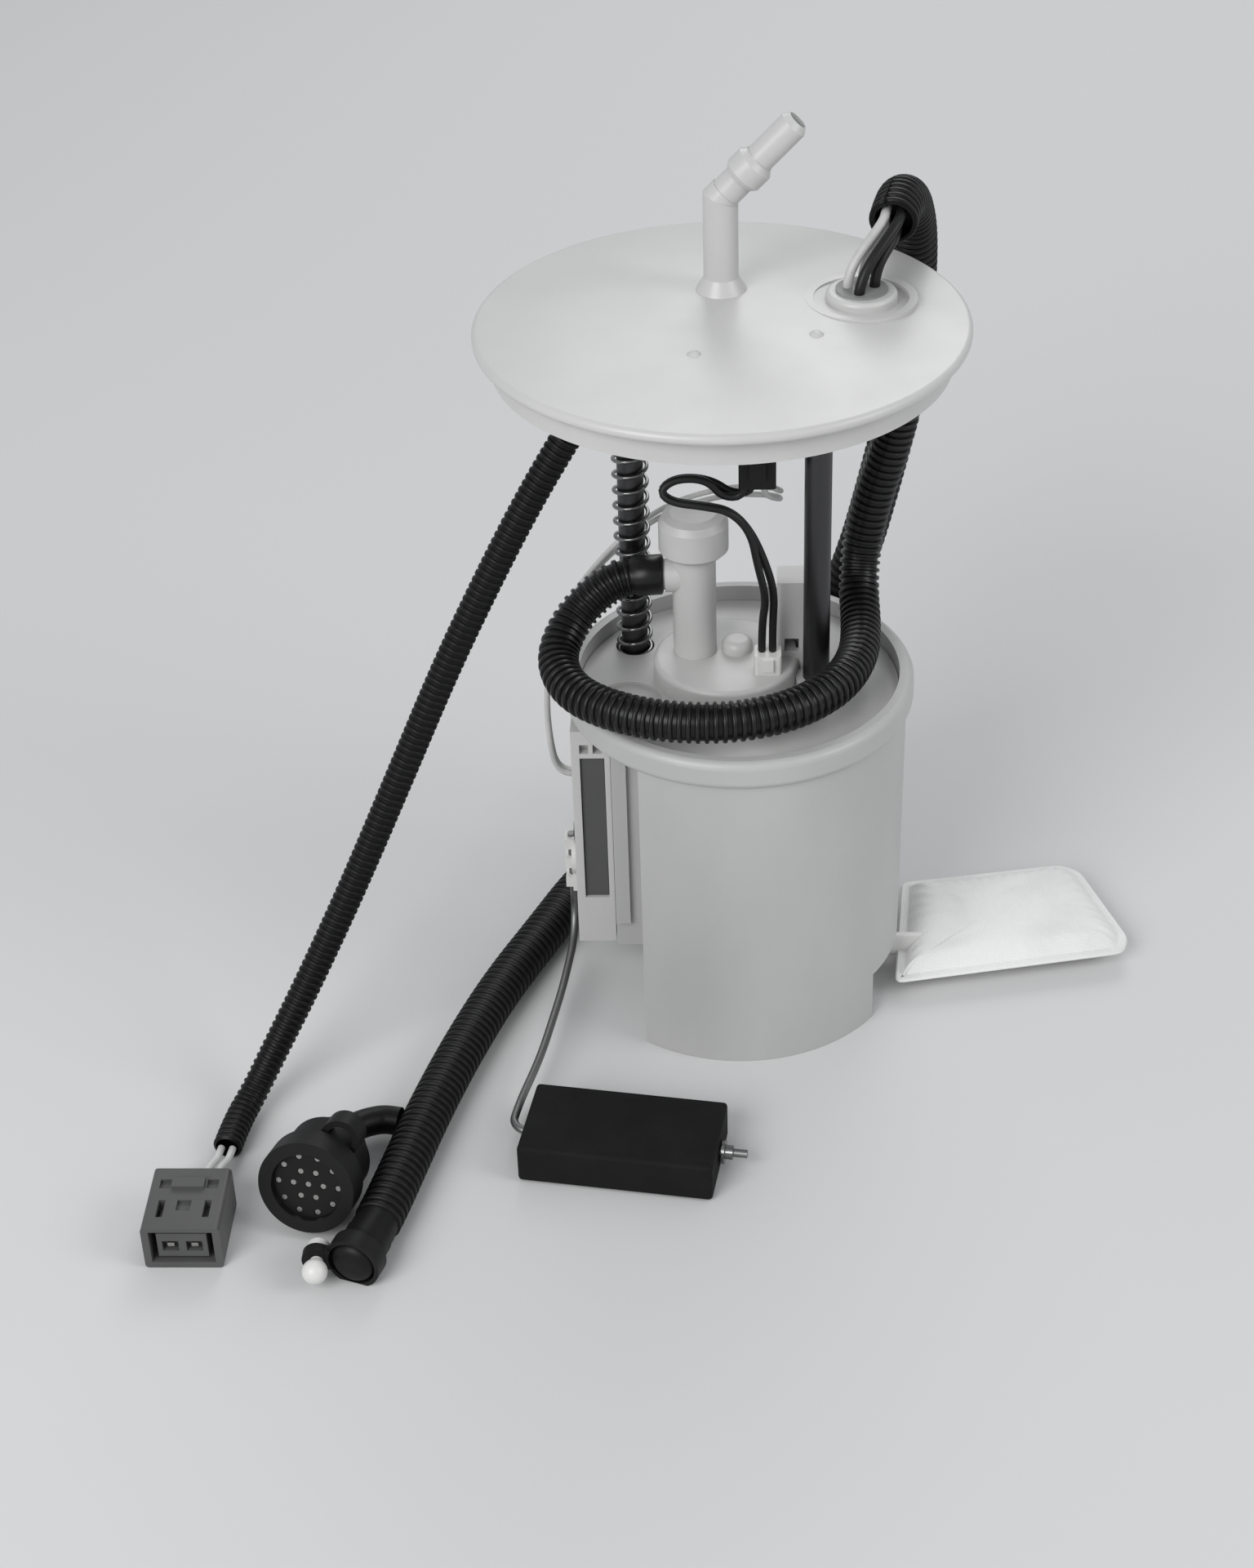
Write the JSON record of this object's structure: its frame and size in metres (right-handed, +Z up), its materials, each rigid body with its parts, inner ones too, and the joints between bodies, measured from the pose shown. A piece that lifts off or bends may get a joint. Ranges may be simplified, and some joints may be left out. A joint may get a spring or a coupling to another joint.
{
  "type": "in-tank fuel pump module",
  "caption": "Fuel pump module: domed flange with an angled outlet on guide rods over a sprung reservoir cup, with float sender, strainer, hose and corrugated looms.",
  "frame": {"origin": "centre of the reservoir's round base, on the surface it stands on", "axes": "+Z up through the cover flange, -Y towards the float and the plugs' mating faces, +X towards the strainer"},
  "size_m": [0.2747, 0.2119, 0.2625],
  "materials": {
    "flange_plastic": "satin moulded off-white plastic",
    "cup_plastic": "satin moulded pale grey plastic",
    "lid_plastic": "satin moulded pale grey plastic",
    "black_plastic": "moulded black plastic",
    "grey_plastic": "moulded mid grey plastic",
    "pale_plastic": "moulded white plastic",
    "rod_steel": "drawn tube",
    "spring_steel": "bright wire",
    "wire_steel": "bent wire",
    "case_steel": "drawn steel",
    "core_steel": "laminated steel",
    "magnet": "sintered ferrite",
    "carbon": "pressed carbon",
    "contact_metal": "plated contacts",
    "zinc_metal": "plated pressing",
    "rubber_black": "moulded rubber",
    "potting_grey": "cast sealing compound",
    "hose_black": "corrugated plastic hose",
    "loom_black": "corrugated split loom",
    "wire_dark": "extruded insulation",
    "wire_pale": "extruded insulation",
    "strainer_cloth": "fine woven filter cloth",
    "float_black": "closed-cell foam rubber",
    "card_ceramic": "printed resistor card"
  },
  "bodies": {
    "flange": {"flange_cover": "flange_plastic", "pass_through_seal": "potting_grey", "header_pins": "contact_metal", "inner_plug": "black_plastic", "left_guide_rod": "rod_steel", "right_guide_rod": "rod_steel", "rod_clips": "spring_steel", "return_spring": "spring_steel", "fuel_hose": "hose_black", "pump_leads": "wire_dark", "sender_leads": "wire_pale", "small_loom": "loom_black", "small_loom_wires": "wire_pale", "square_plug": "grey_plastic", "square_plug_pins": "contact_metal", "harness_loom": "loom_black", "pigtail_dark_wires": "wire_dark", "pigtail_pale_wires": "wire_pale", "round_plug_shell": "black_plastic", "round_plug_insert": "black_plastic", "round_plug_pins": "contact_metal", "plug_branch": "loom_black", "harness_clip": "pale_plastic", "clip_strap": "black_plastic"},
    "reservoir": {"reservoir_cup": "cup_plastic", "reservoir_lid": "lid_plastic", "outlet_housing": "lid_plastic", "pump_case": "case_steel", "pump_inlet_cover": "black_plastic", "pump_bearing_plate": "zinc_metal", "pump_top_cover": "black_plastic", "pump_brushes": "carbon", "pump_magnets": "magnet", "pump_isolator": "rubber_black", "pump_cradle": "lid_plastic", "pressure_regulator": "zinc_metal", "regulator_seal": "rubber_black", "foot_valve": "rubber_black", "strainer_bag": "strainer_cloth", "strainer_neck": "pale_plastic", "sender_body": "lid_plastic", "resistor_card": "card_ceramic", "card_terminals": "contact_metal", "sender_insert": "grey_plastic", "pump_plug": "pale_plastic"},
    "pump_rotor": {"motor_shaft": "rod_steel", "armature": "core_steel", "commutator": "contact_metal", "pump_impeller": "black_plastic"},
    "check_valve": {"check_valve": "black_plastic"},
    "float_arm": {"arm_holder": "pale_plastic", "wiper_contact": "spring_steel", "float_arm_wire": "wire_steel", "float_clip": "spring_steel"},
    "float": {"level_float": "float_black"}
  },
  "joints": [
    {"name": "reservoir_travel", "type": "slide", "parent": "flange", "child": "reservoir", "axis": [0, 0, 1], "range_m": [0, 0.028], "stiffness_N_per_m": 300, "springref_m": -0.03, "deforming": ["return_spring", "fuel_hose", "pump_leads", "sender_leads"]},
    {"name": "pump_spin", "type": "hinge", "parent": "reservoir", "child": "pump_rotor", "pos_m": [-0.0036, 0.005, 0.058], "axis": [0, 0, 1], "continuous": true},
    {"name": "check_valve_lift", "type": "slide", "parent": "reservoir", "child": "check_valve", "axis": [0, 0, 1], "range_m": [0, 0.0018], "stiffness_N_per_m": 15, "springref_m": -0.002},
    {"name": "float_arm_swing", "type": "hinge", "parent": "reservoir", "child": "float_arm", "pos_m": [-0.0496, 0.003, 0.039], "axis": [-1, 0, 0], "range_deg": [0, 60]},
    {"name": "float_turn", "type": "hinge", "parent": "float_arm", "child": "float", "pos_m": [-0.0326, -0.0876, 0.0062], "axis": [0.988, -0.1547, 0], "continuous": true}
  ]
}
